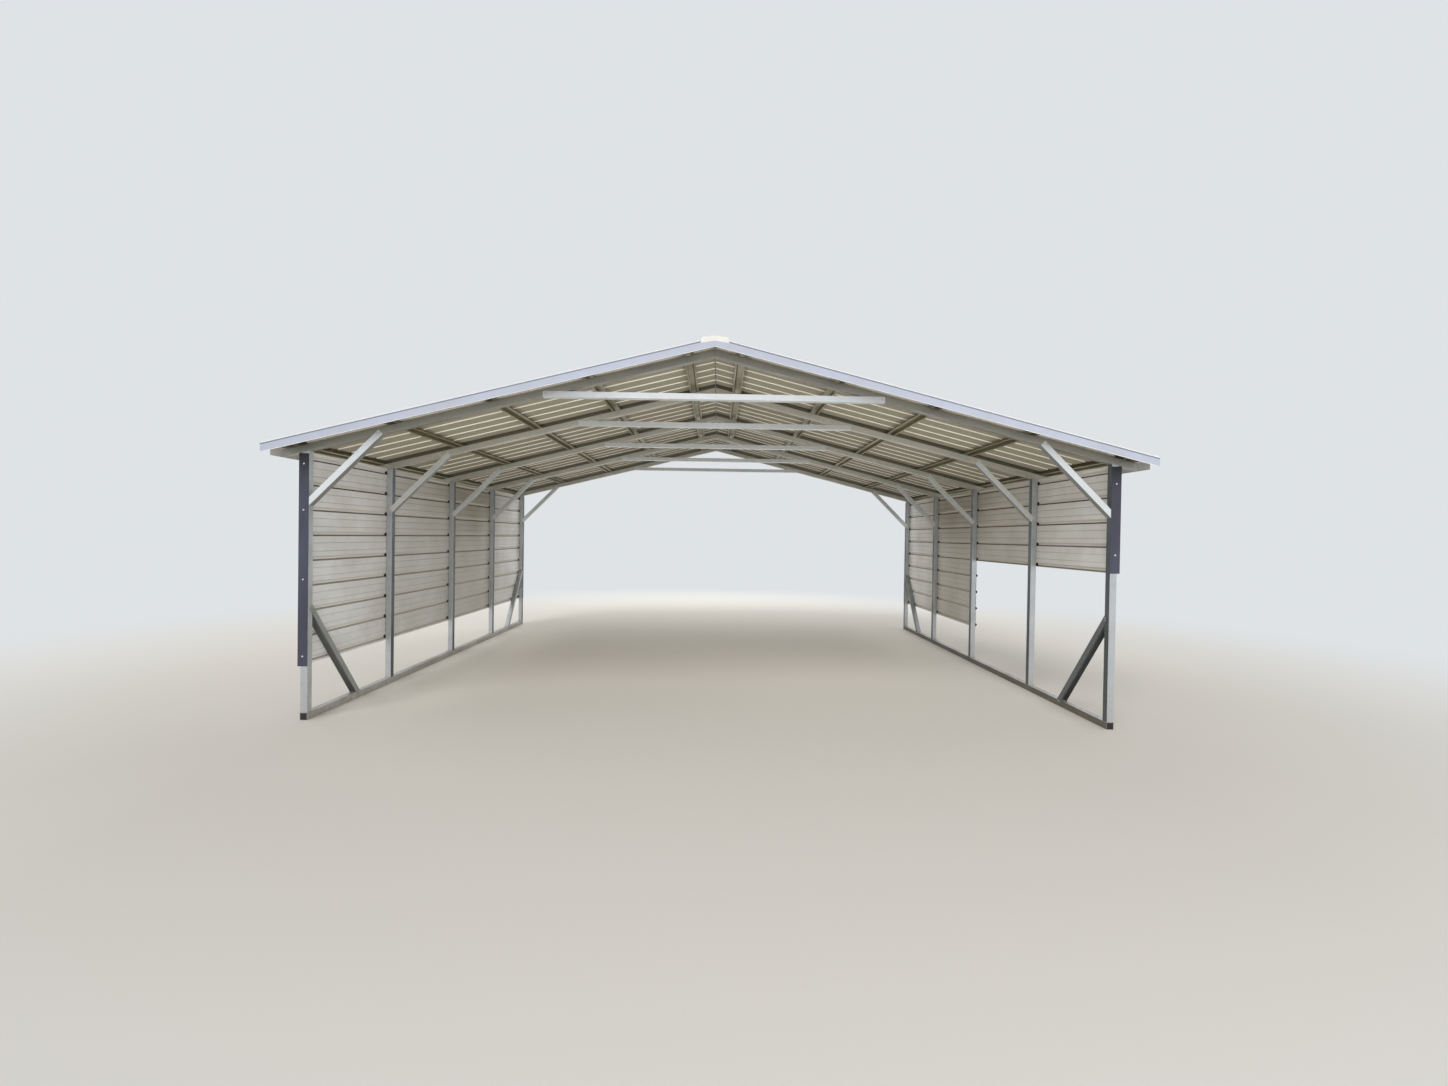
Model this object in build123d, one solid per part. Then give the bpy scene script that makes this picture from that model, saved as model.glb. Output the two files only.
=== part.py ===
from build123d import *
import math
import os

# An open steel carport with a gable roof. Five tube frames stand on two base rails. The roof and
# the side walls are ribbed steel sheets. Millimetres, +Z up, the open front faces -Y, and the
# origin is on the ground in the middle of the plan.

# Frames
frame_width = 7315.0
rail_length = 6096.0
bay_count = 4
second_frame_forward = 100.0
tube_size = 63.5
tube_wall = 1.9
tube_corner = 4.0
stub_height = 152.4
eave_height = 2387.0
roof_rise = 3.0
roof_run = 12.0
rafter_overhang = 167.0
fit_gap = 0.3

# Braces of folded channel that straddle the tubes
channel_wall = 1.9
channel_depth = 54.0
channel_bend = 2.0
knee_length = 915.0
knee_angle = 45.0
tie_length = 3062.0
corner_brace_length = 1219.0
corner_brace_angle = 52.0

# Roof purlins of hat section
purlins_per_side = 5
purlin_first = 235.0
purlin_eave_inset = 98.0
purlin_height = 38.0
purlin_crown = 50.0
purlin_base = 62.0
purlin_flange = 18.0
purlin_wall = 1.2
purlin_setback = 20.0

# Ribbed sheets of roof and walls
sheet_gauge = 0.5
rib_pitch = 228.6
ribs_per_sheet = 4
rib_height = 19.0
rib_base = 44.0
rib_top = 14.0
bead_height = 3.5
bead_base = 24.0
bead_top = 12.0
bead_count = 2
lap_gap = 0.3
lap_lip = 3.0
roof_sheets_per_side = 7
roof_ridge_gap = 3.0
roof_eave_overhang = 77.0
wall_top_clearance = 7.0
wall_top_lip = 30.0
wall_bottom_lip = 40.0
left_wall_sheets = 2
right_short_bays = 2

# Trims
ridge_wing_run = 115.0
ridge_cap_slope = 9.3
ridge_lip = 22.0
ridge_lip_angle = 70.0
ridge_flap = 47.0
rake_depth = 88.0
rake_flange = 60.0
rake_bevel = 12.0
rake_kick = 9.0
corner_leg = 88.5

# Base rail details
anchor_hole = 14.0
anchor_from_end = 184.0
anchor_from_middle = 1356.0
plug_depth = 25.0
plug_wall = 2.5

# Derived places
half_width = frame_width / 2
slope = math.atan2(roof_rise, roof_run)
post_x = half_width - tube_size / 2
rafter_end = half_width + rafter_overhang
under_ridge = eave_height + half_width * math.tan(slope)
top_ridge = under_ridge + tube_size / math.cos(slope)
pan_ridge = top_ridge + purlin_height / math.cos(slope)
sheet_cover = rib_pitch * ribs_per_sheet
roof_cover = sheet_cover * roof_sheets_per_side
rib_lean = math.atan2(rib_height, (rib_base - rib_top) / 2)
roof_half = roof_cover / 2 + rib_base / 2 + sheet_gauge
lap_lift = sheet_gauge + lap_gap
lapped_crest = rib_height + lap_lift + sheet_gauge
sheet_end = rafter_end + roof_eave_overhang
rake_y = roof_half + fit_gap
rake_crest = rib_height + sheet_gauge + fit_gap
channel_inside = tube_size + 2 * fit_gap
channel_outside = channel_inside + 2 * channel_wall
wall_x = half_width + fit_gap + channel_wall + fit_gap
wall_top = eave_height - wall_top_clearance
frame_spacing = (rail_length - tube_size) / bay_count
frame_y = [-rail_length / 2 + tube_size / 2 + frame_spacing * i for i in range(bay_count + 1)]
frame_y[1] = frame_y[1] - second_frame_forward
across = Plane.YZ

os.makedirs("parts", exist_ok=True)


# Shapes shared by many pieces
def save(name, shape):
    export_step(shape, os.path.join("parts", name + ".step"))


def to_left(shape):
    return mirror(shape, about=across)


def tube_section():
    inside = tube_size - 2 * tube_wall
    outer = RectangleRounded(tube_size, tube_size, tube_corner)
    return outer - RectangleRounded(inside, inside, tube_corner - tube_wall)


def rounded_foot(width, height, radius):
    block = Rectangle(width, height, align=(Align.CENTER, Align.MIN))
    return fillet(block.vertices().group_by(Axis.Y)[0], radius)


def channel_section():
    # The web lies on y = 0 with its inner face, and the flanges point to +y.
    outer = Pos(0, -channel_wall) * rounded_foot(channel_outside, channel_depth, channel_bend + channel_wall)
    return outer - rounded_foot(channel_inside, channel_depth, channel_bend)


def thickened(line, gauge):
    # The outline of a folded strip, from the line of its lower face, with the metal on its left.
    normals = []
    for start, end in zip(line, line[1:]):
        length = math.dist(start, end)
        normals.append(((start[1] - end[1]) / length, (end[0] - start[0]) / length))
    before = [normals[0]] + normals
    after = normals + [normals[-1]]
    upper = []
    for point, one, two in zip(line, before, after):
        share = gauge / (1 + one[0] * two[0] + one[1] * two[1])
        upper.append((point[0] + (one[0] + two[0]) * share, point[1] + (one[1] + two[1]) * share))
    return make_face(Polyline(line + upper[::-1], close=True))


def prism(plane, face, length):
    return extrude(plane * face, amount=length, dir=plane.z_dir)


def slope_plane(height_at_ridge):
    # Its x runs along the roof, its y points up out of the right slope, its z runs down the slope.
    down = (math.cos(slope), 0, -math.sin(slope))
    return Plane(origin=(0, 0, height_at_ridge), x_dir=(0, 1, 0), z_dir=down)


def between_x(shape, low, high):
    kept = split(shape, bisect_by=Plane(origin=(low, 0, 0), z_dir=(1, 0, 0)), keep=Keep.TOP)
    return split(kept, bisect_by=Plane(origin=(high, 0, 0), z_dir=(1, 0, 0)), keep=Keep.BOTTOM)


# Base rails, with anchor holes through both walls and a plug in each end
def anchor_places():
    end = rail_length / 2 - anchor_from_end
    return [-end, -anchor_from_middle, anchor_from_middle, end]


def base_rail():
    plane = Plane(origin=(post_x, -rail_length / 2, tube_size / 2), x_dir=(1, 0, 0), z_dir=(0, 1, 0))
    rail = prism(plane, tube_section(), rail_length)
    drill = Cylinder(anchor_hole / 2, tube_size * 2)
    for y in anchor_places():
        rail -= Pos(post_x, y, tube_size / 2) * drill
    return rail


def rail_plug(y_end, inward):
    inside = tube_size - 2 * tube_wall - 2 * fit_gap
    corner = tube_corner - tube_wall
    plane = Plane(origin=(post_x, y_end, tube_size / 2), x_dir=(1, 0, 0), z_dir=(0, inward, 0))
    body = prism(plane, RectangleRounded(inside, inside, corner), plug_depth)
    hollow = Rectangle(inside - 2 * plug_wall, inside - 2 * plug_wall)
    return body - prism(plane.offset(plug_wall), hollow, plug_depth)


def build_rails():
    rail = base_rail()
    save("base_rail_right", rail)
    save("base_rail_left", to_left(rail))
    front = rail_plug(-rail_length / 2, 1)
    rear = rail_plug(rail_length / 2, -1)
    save("rail_end_plugs", Compound([front, rear, to_left(front), to_left(rear)]))


# Posts, on short stubs that are welded on the base rails, and rafters
def rail_stub(y):
    plane = Plane(origin=(post_x, y, tube_size), x_dir=(1, 0, 0), z_dir=(0, 0, 1))
    return prism(plane, tube_section(), stub_height)


def post(y):
    plane = Plane(origin=(post_x, y, tube_size + stub_height), x_dir=(1, 0, 0), z_dir=(0, 0, 1))
    blank = prism(plane, tube_section(), eave_height)
    seat = slope_plane(under_ridge)
    cut = Plane(origin=seat.origin, x_dir=seat.x_dir, z_dir=seat.y_dir)
    return split(blank, bisect_by=cut, keep=Keep.BOTTOM)


def rafter(y):
    middle = slope_plane(under_ridge + tube_size / 2 / math.cos(slope))
    plane = Plane(origin=(0, y, middle.origin.Z), x_dir=middle.x_dir, z_dir=middle.z_dir)
    blank = prism(plane.offset(-tube_size), tube_section(), rafter_end / math.cos(slope) + 2 * tube_size)
    return between_x(blank, 0, rafter_end)


def build_frames():
    stubs = [rail_stub(y) for y in frame_y]
    save("rail_stubs_right", Compound(stubs))
    save("rail_stubs_left", Compound([to_left(stub) for stub in stubs]))
    for number, y in enumerate(frame_y, start=1):
        leg = post(y)
        beam = rafter(y)
        save("post_right_%d" % number, leg)
        save("post_left_%d" % number, to_left(leg))
        save("rafter_right_%d" % number, beam)
        save("rafter_left_%d" % number, to_left(beam))


# Channel braces: each web ends on the face of a tube, and the flanges lap both sides of it
def knee_foot_height():
    # Where the web meets the post, so that its other end meets the underside of the rafter.
    angle = math.radians(knee_angle)
    inward = knee_length * math.cos(angle)
    upward = knee_length * math.sin(angle)
    rafter_at_top = eave_height + (tube_size + inward) * math.tan(slope)
    return rafter_at_top - upward


def knee_brace(y):
    angle = math.radians(knee_angle)
    along = (-math.cos(angle), 0, math.sin(angle))
    foot = (half_width - tube_size - fit_gap, y, knee_foot_height() - fit_gap)
    plane = Plane(origin=foot, x_dir=(0, -1, 0), z_dir=along)
    return prism(plane, channel_section(), knee_length)


def collar_tie(y):
    web_height = eave_height + (half_width - tie_length / 2) * math.tan(slope) - fit_gap
    plane = Plane(origin=(-tie_length / 2, y, web_height), x_dir=(0, 1, 0), z_dir=(1, 0, 0))
    return prism(plane, channel_section(), tie_length)


def corner_brace(end):
    # From the face of the end post down to the base rail; end is -1 at the front and 1 at the rear.
    angle = math.radians(corner_brace_angle)
    post_face = end * (rail_length / 2 - tube_size - fit_gap)
    top = tube_size + fit_gap + corner_brace_length * math.sin(angle)
    along = (0, -end * math.cos(angle), -math.sin(angle))
    plane = Plane(origin=(post_x, post_face, top), x_dir=(-end, 0, 0), z_dir=along)
    return prism(plane, channel_section(), corner_brace_length)


def build_braces():
    knees = [knee_brace(y) for y in frame_y]
    save("knee_braces_right", Compound(knees))
    save("knee_braces_left", Compound([to_left(knee) for knee in knees]))
    save("collar_ties", Compound([collar_tie(y) for y in frame_y]))
    corners = [corner_brace(end) for end in (-1, 1)]
    save("corner_braces_right", Compound(corners))
    save("corner_braces_left", Compound([to_left(brace) for brace in corners]))


# Purlins: hat sections on the rafters, with the crown up
def purlin(offset):
    half_crown = purlin_crown / 2
    half_base = purlin_base / 2
    foot = half_base + purlin_flange
    rise = purlin_height - purlin_wall
    right_half = [(half_crown, rise), (half_base, 0), (foot, 0)]
    line = [(-x, z) for x, z in right_half[::-1]] + right_half
    length = 2 * (roof_half - purlin_setback)
    seat = slope_plane(top_ridge)
    start = seat.origin + seat.z_dir * (offset / math.cos(slope))
    plane = Plane(origin=(start.X, length / 2, start.Z), x_dir=seat.z_dir, z_dir=(0, -1, 0))
    return prism(plane, thickened(line, purlin_wall), length)


def build_purlins():
    purlin_last = rafter_end - purlin_eave_inset
    spacing = (purlin_last - purlin_first) / (purlins_per_side - 1)
    rows = [purlin(purlin_first + spacing * i) for i in range(purlins_per_side)]
    save("purlins_right", Compound(rows))
    save("purlins_left", Compound([to_left(row) for row in rows]))


# Ribbed sheets
def rib_line(centre, lift):
    # One rib over the pan line; lift is how far it is pushed out, to go over another sheet's rib.
    base = rib_base / 2 + lift / math.sin(rib_lean)
    top = base - (rib_height + lift) / math.tan(rib_lean)
    height = rib_height + lift
    return [(centre - base, 0), (centre - top, height), (centre + top, height), (centre + base, 0)]


def on_side_of_rib(point, other, height):
    share = (height - point[1]) / (other[1] - point[1])
    return (point[0] + (other[0] - point[0]) * share, height)


def bead_lines(start):
    # The low beads that stiffen the pan between two ribs.
    line = []
    for number in range(1, bead_count + 1):
        centre = start + rib_pitch * number / (bead_count + 1)
        line += [(centre - bead_base / 2, 0), (centre - bead_top / 2, bead_height)]
        line += [(centre + bead_top / 2, bead_height), (centre + bead_base / 2, 0)]
    return line


def sheet_line(first_under, last_over):
    # The lower face of one sheet, from its first rib at 0 to its last rib at the cover width.
    line = rib_line(0, 0)
    if first_under:
        line[0] = on_side_of_rib(line[0], line[1], lap_lip)
    for number in range(ribs_per_sheet):
        line += bead_lines(number * rib_pitch)
        if number < ribs_per_sheet - 1:
            line += rib_line((number + 1) * rib_pitch, 0)
    last = rib_line(sheet_cover, lap_lift if last_over else 0)
    if last_over:
        last[3] = on_side_of_rib(last[3], last[2], lap_lift)
    return line + last


def roof_sheets():
    # The first sheet lies on top of the second one's rib, and so on along the roof.
    down_slope = sheet_end / math.cos(slope)
    start = roof_ridge_gap / math.cos(slope)
    base = slope_plane(pan_ridge).offset(start)
    sheets = []
    for number in range(roof_sheets_per_side):
        shift = -roof_cover / 2 + number * sheet_cover
        is_first = number == 0
        is_last = number == roof_sheets_per_side - 1
        line = [(x + shift, z) for x, z in sheet_line(not is_first, not is_last)]
        sheets.append(prism(base, thickened(line, sheet_gauge), down_slope - start))
    return sheets


def wall_sheet(top_rib, y_start, y_end, lapped_above, laps_below):
    # The ribs point out of the building, and each sheet laps over the top rib of the one below.
    line = sheet_line(lapped_above, laps_below)
    if not lapped_above:
        line = [(-wall_top_lip, 0)] + line
    if not laps_below:
        line = line + [(sheet_cover + wall_bottom_lip, 0)]
    plane = Plane(origin=(wall_x, y_end, top_rib), x_dir=(0, 0, -1), z_dir=(0, -1, 0))
    return prism(plane, thickened(line, sheet_gauge), y_end - y_start)


def build_sheets():
    roof = roof_sheets()
    save("roof_sheets_right", Compound(roof))
    save("roof_sheets_left", Compound([to_left(sheet) for sheet in roof]))
    top_rib = wall_top - wall_top_lip
    half_length = rail_length / 2
    short_start = frame_y[right_short_bays] - tube_size / 2
    for number in range(left_wall_sheets):
        name = ("upper", "lower")[number] if left_wall_sheets == 2 else "wall_%d" % (number + 1)
        is_last = number == left_wall_sheets - 1
        rib = top_rib - number * sheet_cover
        left = wall_sheet(rib, -half_length, half_length, number > 0, not is_last)
        save("%s_wall_sheet_left" % name, to_left(left))
    save("upper_wall_sheet_right", wall_sheet(top_rib, -half_length, half_length, False, True))
    lower = wall_sheet(top_rib - sheet_cover, short_start, half_length, True, False)
    save("lower_wall_sheet_right", lower)


# Trims
def ridge_cap():
    # Two flat-pitched wings. Their steep lips stand on the lapped ribs and on the rake trims, and a
    # flap closes each end over the faces of the rake trims.
    lip = math.radians(ridge_lip_angle)
    foot_run = ridge_wing_run + ridge_lip * math.cos(lip)
    lift = (lapped_crest + fit_gap) / math.cos(slope)
    foot = pan_ridge + lift - foot_run * math.tan(slope)
    edge = foot + ridge_lip * math.sin(lip)
    peak = edge + ridge_wing_run * math.tan(math.radians(ridge_cap_slope))
    right = [(ridge_wing_run, edge), (foot_run, foot)]
    line = [(-x, z) for x, z in right[::-1]] + [(0, peak)] + right
    low = [(foot_run, edge - ridge_flap), (0, peak - ridge_flap), (-foot_run, edge - ridge_flap)]
    flap = make_face(Polyline(line + low, close=True))
    outer = rake_y + 2 * sheet_gauge + fit_gap
    plane = Plane(origin=(0, outer, 0), x_dir=(1, 0, 0), z_dir=(0, -1, 0))
    cap = prism(plane, thickened(line, sheet_gauge), 2 * outer)
    cap += prism(plane, flap, sheet_gauge)
    return cap + prism(plane.offset(2 * outer - sheet_gauge), flap, sheet_gauge)


def rake_trim(end):
    # A folded strip: flange on the end rib, bevel, face down the edge of the roof, lip kicked out.
    kick = rake_kick * math.sin(math.radians(45))
    low = rake_crest - rake_depth
    line = [
        (end * (rake_y - rake_flange), rake_crest),
        (end * (rake_y - rake_bevel), rake_crest),
        (end * rake_y, rake_crest - rake_bevel),
        (end * rake_y, low + kick),
        (end * (rake_y + kick), low),
    ]
    metal = thickened(line, end * sheet_gauge)
    base = slope_plane(pan_ridge)
    blank = prism(base.offset(-2 * tube_size), metal, sheet_end / math.cos(slope) + 4 * tube_size)
    return between_x(blank, 0, sheet_end)


def corner_trim(end, bottom):
    # An angle on the face of the corner post and around the ribs of the wall sheet.
    outer = wall_x + lapped_crest + fit_gap
    front = rail_length / 2 + fit_gap + channel_wall + fit_gap
    line = [
        (outer - corner_leg, end * front),
        (outer, end * front),
        (outer, end * (front - corner_leg)),
    ]
    metal = thickened(line, end * sheet_gauge)
    plane = Plane(origin=(0, 0, bottom), x_dir=(1, 0, 0), z_dir=(0, 0, 1))
    return prism(plane, metal, wall_top - bottom)


def build_trims():
    save("ridge_cap", ridge_cap())
    top_rib = wall_top - wall_top_lip
    long_bottom = top_rib - left_wall_sheets * sheet_cover - wall_bottom_lip
    short_bottom = top_rib - sheet_cover - rib_base / 2
    full_right_bottom = top_rib - 2 * sheet_cover - wall_bottom_lip
    bottoms = {("front", "left"): long_bottom, ("rear", "left"): long_bottom,
               ("front", "right"): short_bottom, ("rear", "right"): full_right_bottom}
    for name, end in (("front", -1), ("rear", 1)):
        rake = rake_trim(end)
        save("rake_trim_%s_right" % name, rake)
        save("rake_trim_%s_left" % name, to_left(rake))
        save("corner_trim_%s_right" % name, corner_trim(end, bottoms[(name, "right")]))
        save("corner_trim_%s_left" % name, to_left(corner_trim(end, bottoms[(name, "left")])))


build_rails()
build_frames()
build_braces()
build_purlins()
build_sheets()
build_trims()
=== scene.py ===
# %% [markdown]
# # An open steel carport with ribbed sheets
# Five frames of square galvanised tube stand on two base rails. Braces of folded channel
# straddle the tubes, hat purlins lie across the rafters, and ribbed sheets cover the roof and
# part of the side walls. The CAD model already has every tube, fold, rib and lap at its true
# size, so this lesson adds what CAD leaves out: metal and paint that look right at their real
# scale, the many screws, and the welds. Everything is in metres and stays where the CAD is.

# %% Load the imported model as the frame
import bpy
import math
from mathutils import Matrix, Vector


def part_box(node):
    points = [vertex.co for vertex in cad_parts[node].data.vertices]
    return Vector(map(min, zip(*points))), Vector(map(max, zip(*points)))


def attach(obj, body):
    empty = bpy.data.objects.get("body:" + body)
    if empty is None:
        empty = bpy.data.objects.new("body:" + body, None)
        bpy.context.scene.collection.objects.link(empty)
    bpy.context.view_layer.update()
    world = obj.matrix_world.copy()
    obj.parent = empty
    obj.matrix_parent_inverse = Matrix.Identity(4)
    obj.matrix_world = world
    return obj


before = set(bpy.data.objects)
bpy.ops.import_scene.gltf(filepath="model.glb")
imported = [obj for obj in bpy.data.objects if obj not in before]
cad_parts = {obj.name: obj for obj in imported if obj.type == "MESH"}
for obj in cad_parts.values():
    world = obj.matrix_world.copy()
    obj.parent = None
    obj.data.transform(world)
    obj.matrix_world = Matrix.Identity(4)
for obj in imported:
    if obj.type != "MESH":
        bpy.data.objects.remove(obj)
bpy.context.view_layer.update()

# %% [markdown]
# ## The camera
# The photograph was taken with a very wide lens, close to the open front and at eye height.
# Such a lens makes the near frame large and the far one small, so its place and its focal
# length decide how the whole roof looks. They were worked out from the corners of tubes whose
# size is known. Blender's camera looks along its own -Z, so its matrix has the right, the up
# and the backward direction as columns.

# %% Put the camera where the picture was taken from
camera_place = Vector((0.0457, -8.5703, 1.6937))
camera_yaw = 0.0108
camera_pitch = -0.0101
camera_roll = 0.0152
focal_length = 15.313
forward = Vector((
    math.sin(camera_yaw) * math.cos(camera_pitch),
    math.cos(camera_yaw) * math.cos(camera_pitch),
    math.sin(camera_pitch),
))
level_right = Vector((math.cos(camera_yaw), -math.sin(camera_yaw), 0))
level_up = level_right.cross(forward)
right = level_right * math.cos(camera_roll) + level_up * math.sin(camera_roll)
up = level_up * math.cos(camera_roll) - level_right * math.sin(camera_roll)
camera_data = bpy.data.cameras.new("camera")
camera_data.sensor_width = 36
camera_data.lens = focal_length
camera_data.clip_start = 0.05
camera_data.clip_end = 500
camera = bpy.data.objects.new("camera", camera_data)
bpy.context.scene.collection.objects.link(camera)
turn = Matrix((right, up, -forward)).transposed()
camera.matrix_world = Matrix.Translation(camera_place) @ turn.to_4x4()
bpy.context.scene.camera = camera
bpy.context.scene.view_settings.view_transform = "Standard"

# %% [markdown]
# ## Small tools
# Colours are written as the sRGB hex values that a paint card gives, but shaders work in linear
# light, so one function turns them. Another adds a node with its settings and its links. Nearly
# every material and every Geometry Nodes tree below is built with it. Two more start a material,
# with its tree and the coordinates of the object, and make an object from corners and faces.

# %% Colours and nodes
def linear(hex_code):
    shares = [int(hex_code[place:place + 2], 16) / 255 for place in (1, 3, 5)]
    levels = [s / 12.92 if s <= 0.04045 else ((s + 0.055) / 1.055) ** 2.4 for s in shares]
    return (*levels, 1.0)


def add_node(tree, kind, settings=None, links=None):
    node = tree.nodes.new(kind)
    for name, value in (settings or {}).items():
        if isinstance(name, str) and hasattr(node, name):
            setattr(node, name, value)
        else:
            node.inputs[name].default_value = value
    for name, source in (links or {}).items():
        # A link that names a node, and not one of its sockets, takes its first output.
        tree.links.new(source.outputs[0] if hasattr(source, "outputs") else source, node.inputs[name])
    return node


def blank_material(name):
    material = bpy.data.materials.new(name)
    material.use_nodes = True
    tree = material.node_tree
    tree.nodes.clear()
    return material, tree, add_node(tree, "ShaderNodeTexCoord").outputs["Object"]


def mesh_object(name, corners, faces, finish):
    mesh = bpy.data.meshes.new(name)
    mesh.from_pydata(corners, [], faces)
    mesh.materials.append(finish)
    made = bpy.data.objects.new(name, mesh)
    bpy.context.scene.collection.objects.link(made)
    return made


print("Pure white stays", linear("#ffffff")[0], "and middle grey becomes", round(linear("#808080")[0], 3))

# %% [markdown]
# ## Floor, background and light
# A building this size is never in a studio, but plain soft light shows its shapes best. The
# floor is one flat disc. Near the carport it is matt and takes the shadow, and further out it
# fades into the colour of the background, so no horizon cuts the picture. A curved paper
# backdrop was left out, because it would hide the carport from the back.

# %% The world lights softly, and shows a plain pale background
background_colour = linear("#dfe3e6")
world = bpy.data.worlds.new("studio")
bpy.context.scene.world = world
world.use_nodes = True
tree = world.node_tree
tree.nodes.clear()
path = add_node(tree, "ShaderNodeLightPath")
seen = add_node(tree, "ShaderNodeMath", {"operation": "MAXIMUM"},
                {0: path.outputs["Is Camera Ray"], 1: path.outputs["Is Glossy Ray"]})
seen = add_node(tree, "ShaderNodeMath", {"operation": "MAXIMUM"},
                {0: seen, 1: path.outputs["Is Transmission Ray"]})
lit = add_node(tree, "ShaderNodeBackground", {"Color": linear("#f4f7fa"), "Strength": 0.40})
shown = add_node(tree, "ShaderNodeBackground", {"Color": background_colour})
mixed = add_node(tree, "ShaderNodeMixShader", None, {0: seen, 1: lit, 2: shown})
add_node(tree, "ShaderNodeOutputWorld", None, {"Surface": mixed})
print("World light", lit.inputs["Strength"].default_value)

# %% The floor fades into the background
floor_radius = 70.0
fade_start = 5.5
fade_end = 12.0
floor_sides = 96
floor_finish, tree, place = blank_material("matt_floor")
distance = add_node(tree, "ShaderNodeVectorMath", {"operation": "LENGTH"}, {0: place})
fade = add_node(tree, "ShaderNodeMapRange",
                {"interpolation_type": "SMOOTHSTEP", "From Min": fade_start, "From Max": fade_end},
                {"Value": distance.outputs["Value"]})
matt = add_node(tree, "ShaderNodeBsdfDiffuse", {"Color": linear("#ebe6dd")})
paper = add_node(tree, "ShaderNodeEmission", {"Color": background_colour})
mixed = add_node(tree, "ShaderNodeMixShader", None, {0: fade, 1: matt, 2: paper})
add_node(tree, "ShaderNodeOutputMaterial", None, {"Surface": mixed})
angles = [math.tau * i / floor_sides for i in range(floor_sides)]
rim = [(math.cos(angle) * floor_radius, math.sin(angle) * floor_radius, 0) for angle in angles]
floor = mesh_object("floor", rim, [list(range(floor_sides))], floor_finish)
print("Floor of", floor_radius * 2, "m across, fading from", fade_start, "m")

# %% [markdown]
# The roof is seen from below, so the light has to come in from the sides. A low panel stands
# well in front and shines in level through the open end: the flanks of the ribs turn bright, the
# flat pans between them stay dim, and the light weakens from frame to frame. A second panel
# hangs high behind the rear and slants in through the other end, and two weaker ones light the
# outsides. A wide soft lamp, high in front on the left, is the sky: it reaches the trims, their
# bevels and the first frame, and the roof keeps it from all that lies deeper. The panels are
# hidden from the camera and from reflections, so metal shows the plain background instead.

# %% Soft panels and a high lamp
panel_width = 13.0


def light_panel(name, centre, aim, height, level):
    data = bpy.data.lights.new(name, "AREA")
    data.shape = "RECTANGLE"
    data.size = panel_width
    data.size_y = height
    reach = Vector(aim) - Vector(centre)
    # A panel of this power gives about this level on a surface at its aim that faces it.
    data.energy = level * math.pi ** 2 * reach.length_squared
    panel = bpy.data.objects.new(name, data)
    panel.location = centre
    panel.rotation_mode = "QUATERNION"
    panel.rotation_quaternion = reach.to_track_quat("-Z", "Y")
    panel.visible_camera = False
    panel.visible_glossy = False
    bpy.context.scene.collection.objects.link(panel)
    return panel


panels = [
    light_panel("front_panel", (1.5, -12.5, 1.4), (0.0, -3.2, 1.4), 2.8, 0.72),
    light_panel("rear_panel", (0.0, 14.0, 7.6), (0.0, 3.2, 1.2), 3.2, 0.60),
    light_panel("left_panel", (-15.5, 0.0, 5.6), (-3.7, 0.0, 5.6), 3.2, 0.30),
    light_panel("right_panel", (15.5, 0.0, 5.6), (3.7, 0.0, 5.6), 3.2, 0.20),
]
high_data = bpy.data.lights.new("high_lamp", "SUN")
high_data.energy = 0.85
high_data.angle = math.radians(30)
high_lamp = bpy.data.objects.new("high_lamp", high_data)
high_lamp.rotation_mode = "QUATERNION"
high_lamp.rotation_quaternion = Vector((0.35, 0.75, -0.72)).to_track_quat("-Z", "Y")
bpy.context.scene.collection.objects.link(high_lamp)
print("Panels, watts:", [round(panel.data.energy) for panel in panels])

# %% [markdown]
# ## Galvanised tube
# The tube is rolled from strip that was dipped in zinc. Up close one sees spangle: crystals of
# zinc 5 to 15 mm across, each turned another way, so each reflects a little differently. Along
# the tube run faint streaks from the rolls, and where it has weathered the zinc turns dull and
# whitish. Voronoi cells give the crystals, stretched noise the streaks, and large noise the
# weathering. The streaks have to run along the tube, so each direction has its own material.
# A face that looks down, or in under the roof, is painted darker as painted shade, so a face's
# direction decides its tone too. Some parts also get lit and shaded copies of the zinc.

# %% Painted shade on faces that look one way
shade_directions = {
    "down": ((0, 0, 0), (0, 0, -3.6)),
    "in": ((-1, 0, 0), (0, 0, 0)),
}


def painted_face_shade(tree, place, surface, shaded_faces):
    normal = add_node(tree, "ShaderNodeNewGeometry").outputs["True Normal"]
    for direction, tone in shaded_faces:
        # Down is fixed; inwards is towards the plane x = 0, so it turns with the side.
        scale, shift = shade_directions[direction]
        way = add_node(tree, "ShaderNodeVectorMath", {"operation": "MULTIPLY_ADD", 1: scale, 2: shift},
                       {0: place})
        share = add_node(tree, "ShaderNodeVectorMath", {"operation": "DOT_PRODUCT"}, {0: way, 1: normal})
        turned = add_node(tree, "ShaderNodeMath", {"operation": "GREATER_THAN", 1: 2.2},
                          {0: share.outputs["Value"]})
        if direction == "in":
            # The left front post stands in the open, so its inner face gets no painted shade. Only there
            # do the distances to the left and to the front add up to more than 6.2 m.
            corner = add_node(tree, "ShaderNodeVectorMath", {"operation": "DOT_PRODUCT", 1: (-1, -1, 0)},
                              {0: place})
            covered = add_node(tree, "ShaderNodeMath", {"operation": "LESS_THAN", 1: 6.2},
                               {0: corner.outputs["Value"]})
            turned = add_node(tree, "ShaderNodeMath", {"operation": "MULTIPLY"}, {0: turned, 1: covered})
        # Painted shade: on these faces the colour is multiplied by the darker tone.
        other = add_node(tree, "ShaderNodeMix",
                         {"data_type": "RGBA", "blend_type": "MULTIPLY", 7: linear(tone)},
                         {0: turned, 6: surface})
        surface = other.outputs[2]
    return surface


print("Zinc is darker on faces that look", " or ".join(shade_directions))

# %% Splashed earth at the foot
splash_height = 0.13


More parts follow.
